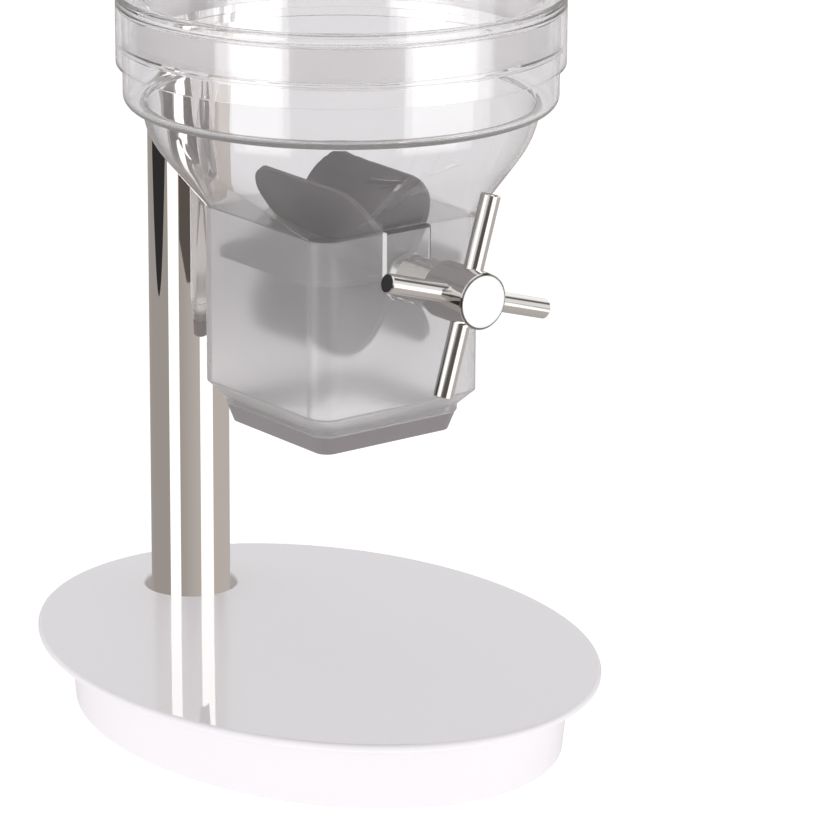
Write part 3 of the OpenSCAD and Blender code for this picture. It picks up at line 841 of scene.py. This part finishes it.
NODES_BY_FINISH = {
    "base_white": "base_shell",
    "ballast_steel": "ballast_plate",
    "cover_plastic": "base_cover",
    "foot_rubber": "rubber_feet",
    "column_steel": "column_tube column_cap",
    "core_nylon": "column_foot wheel_core",
    "fastener_steel": "cover_screws column_bolt bolt_washer clamp_screw knob_screw",
    "brass_insert": "clamp_insert",
    "gasket_grey": "outlet_gasket",
    "bush_acetal": "front_bush rear_bush front_thrust_washer rear_thrust_washer",
    "grey_silicone": "paddle_wheel",
    "shaft_steel": "core_pin drive_shaft",
    "clip_steel": "rear_clip hub_set_screw",
    "hub_chrome": "handle_hub",
    "handle_chrome": "spoke_up spoke_left spoke_down spoke_right lid_knob",
    "cap_white": "hub_cap",
    "silicone_milk": "lid_seal",
}
for look, names in NODES_BY_FINISH.items():
    for name in names.split():
        paint(nodes[name], look)

# The base and its fittings stay out of mirrors
for name in ("base_shell", "ballast_plate", "base_cover", "cover_screws", "rubber_feet",
             "column_foot", "column_bolt", "bolt_washer"):
    nodes[name].visible_glossy = False

# ------------------------------------------------------------------ studio


def build_floor():
    """Pale floor, dimmer through clear plastic, unseen in mirrors."""
    half, z = 14, -0.0004
    material, g = new_material("floor_pale")
    mottle = g.noise(g.place(), scale=6.0, detail=3.0)
    path = g.path()
    through = g.math("SUBTRACT", 1.0, g.mul(path["Is Transmission Ray"], 0.55))
    shade = g.mix_color(mottle, (0.59, 0.59, 0.595), (0.61, 0.61, 0.61))
    diffuse = g.out("BsdfDiffuse", {"Color": shade})
    # Own light, stronger where it lights other surfaces
    strength = g.add(0.62, g.mul(path["Is Diffuse Ray"], 0.30))
    glow = g.glow((1.0, 1.0, 1.0), g.mul(through, strength))
    g.node("OutputMaterial", {"Surface": g.add_shader(diffuse, glow)})
    corners = [(-half, -half, z), (half, -half, z), (half, half, z), (-half, half, z)]
    floor = mesh_object("studio_floor", corners, [(0, 1, 2, 3)], unit=1.0)
    floor.data.materials.append(material)
    floor.visible_glossy = False


def softbox_light(g):
    """Bright card, stronger in repeated mirrorings and through clear plastic."""
    direct, repeated, inside = 1.25, 3.0, 2.0
    path = g.path()
    again = g.math("GREATER_THAN", path["Glossy Depth"], 1.5)
    strength = g.add(direct, g.mul(again, repeated - direct))
    within = g.math("GREATER_THAN", path["Transmission Depth"], 0.5)
    strength = g.math("MAXIMUM", strength, g.mul(within, inside))
    return g.glow((1.0, 0.995, 0.985), strength)


def dark_light(color):
    """Dark card that vanishes for rays climbing steeply to it."""
    def build(g):
        glow = g.glow(color)
        shown = g.rise(g.xyz(g.geometry()["Incoming"])[2], -0.17, -0.13)
        return g.mix_shader(shown, g.out("BsdfTransparent"), glow)
    return build


def card(name, azimuths, low, high, distance, light):
    """Curved card about the column axis, seen only in mirrors; low gives z at an azimuth."""
    steps = 24
    start, end = azimuths
    verts = []
    for i in range(steps + 1):
        azimuth = start + (end - start) * i / steps
        t = math.radians(azimuth)
        x, y = distance * math.sin(t), COLUMN_Y * MM - distance * math.cos(t)
        verts += [(x, y, low(azimuth)), (x, y, high)]
    faces = [(2 * i, 2 * i + 2, 2 * i + 3, 2 * i + 1) for i in range(steps)]
    obj = mesh_object(name, verts, faces, unit=1.0)
    material, g = new_material(name)
    g.node("OutputMaterial", {"Surface": light(g)})
    obj.data.materials.append(material)
    for ray in ("camera", "diffuse", "transmission", "volume_scatter", "shadow"):
        setattr(obj, "visible_" + ray, False)


build_floor()
for name, azimuths in (("softbox_left", SOFTBOX_LEFT), ("softbox_right", SOFTBOX_RIGHT)):
    card(name, azimuths, low=lambda a: -0.42, high=0.60, distance=1.3, light=softbox_light)
card("dark_back", (-157.0, -103.0), low=lambda a: -0.085 + 0.10 * ((a + 130.0) / 27.0) ** 2,
     high=0.9, distance=1.0, light=dark_light((0.03, 0.029, 0.03)))
card("dark_front", (-61.0, -7.0), low=lambda a: -0.072 + 0.03 * max(0.0, (-40.0 - a) / 20.0),
     high=0.9, distance=1.0, light=dark_light((0.10, 0.088, 0.080)))


def build_world():
    """White to the camera, soft light on surfaces, a dim warm room in mirrors."""
    world = bpy.data.worlds.new("studio")
    scene.world = world
    world.use_nodes = True
    g = Graph(world.node_tree)
    x, y, up = g.xyz(g.node("TexCoord").outputs["Generated"])

    def along(x_share, y_share):
        return g.add(g.mul(x, x_share), g.mul(y, y_share))

    side = along(0.788, -0.616)
    path = g.path()
    room = g.mix_color(g.rise(side, -0.8, 0.8), (0.35, 0.325, 0.305), (0.50, 0.465, 0.44))
    back = along(0.616, 0.788)
    front = along(0.766, -0.643)
    # Above the horizon: a dark patch ahead, white behind and overhead
    ahead = g.mul(g.rise(front, 0.05, 0.35), g.rise(up, 0.38, 0.46))
    above = g.mix_color(ahead, (0.80, 0.79, 0.785), (0.12, 0.115, 0.11))
    above = g.mix_color(g.rise(back, 0.35, 0.6), above, (1.0, 0.995, 1.0))
    above = g.mix_color(g.rise(up, 0.72, 0.86), above, (0.95, 0.945, 0.94))
    room = g.mix_color(g.rise(up, -0.02, 0.07), room, above)
    light = g.mix_color(g.rise(up, 0.0, 1.0), (1.42, 1.40, 1.43), (0.46, 0.455, 0.465))
    # Through clear plastic: a plain backdrop, or some of the room once mirrored
    backdrop = (0.71, 0.688, 0.698)
    color = g.mix_color(path["Is Glossy Ray"], light, room)
    mirrored = g.math("GREATER_THAN", path["Glossy Depth"], 0.5)
    part_room = g.mix_color(0.35, (0.68, 0.66, 0.665), room)
    through = g.mix_color(mirrored, backdrop, part_room)
    color = g.mix_color(path["Is Transmission Ray"], color, through)
    color = g.mix_color(path["Is Camera Ray"], color, (1.0, 1.0, 1.0))
    g.node("OutputWorld", {"Surface": g.out("Background", {"Color": color, "Strength": 1.0})})


build_world()

# ------------------------------------------------------------------ camera and render


def build_camera():
    yaw = math.radians(-37.97219225989099)
    pitch = math.radians(16.857110524636656)      # downwards
    roll = math.radians(-0.4191154096930839)
    forward = Vector((-math.sin(yaw) * math.cos(pitch), math.cos(yaw) * math.cos(pitch),
                      -math.sin(pitch)))
    level_right = Vector((math.cos(yaw), math.sin(yaw), 0.0))
    level_down = forward.cross(level_right)
    right = math.cos(roll) * level_right + math.sin(roll) * level_down
    down = -math.sin(roll) * level_right + math.cos(roll) * level_down
    lens = bpy.data.cameras.new("photo_camera")
    camera = bpy.data.objects.new("photo_camera", lens)
    scene.collection.objects.link(camera)
    pose = Matrix((right, -down, -forward)).transposed().to_4x4()
    pose.translation = Vector((-1.192806344372574, -1.606323876737088, 0.7508270385530597))
    camera.matrix_world = pose
    lens.sensor_fit = "HORIZONTAL"
    lens.sensor_width = 36.0
    lens.lens = 193.76629513205994
    lens.clip_start = 0.05
    lens.clip_end = 60.0
    scene.camera = camera


build_camera()

scene.view_settings.view_transform = "Standard"
scene.view_settings.look = "None"
cycles = scene.cycles
cycles.max_bounces = 18
cycles.diffuse_bounces = 3
cycles.glossy_bounces = 6
cycles.transmission_bounces = 18
cycles.transparent_max_bounces = 24
cycles.caustics_reflective = True
cycles.caustics_refractive = True
cycles.sample_clamp_indirect = 6.0
cycles.blur_glossy = 0.3
cycles.seed = 7
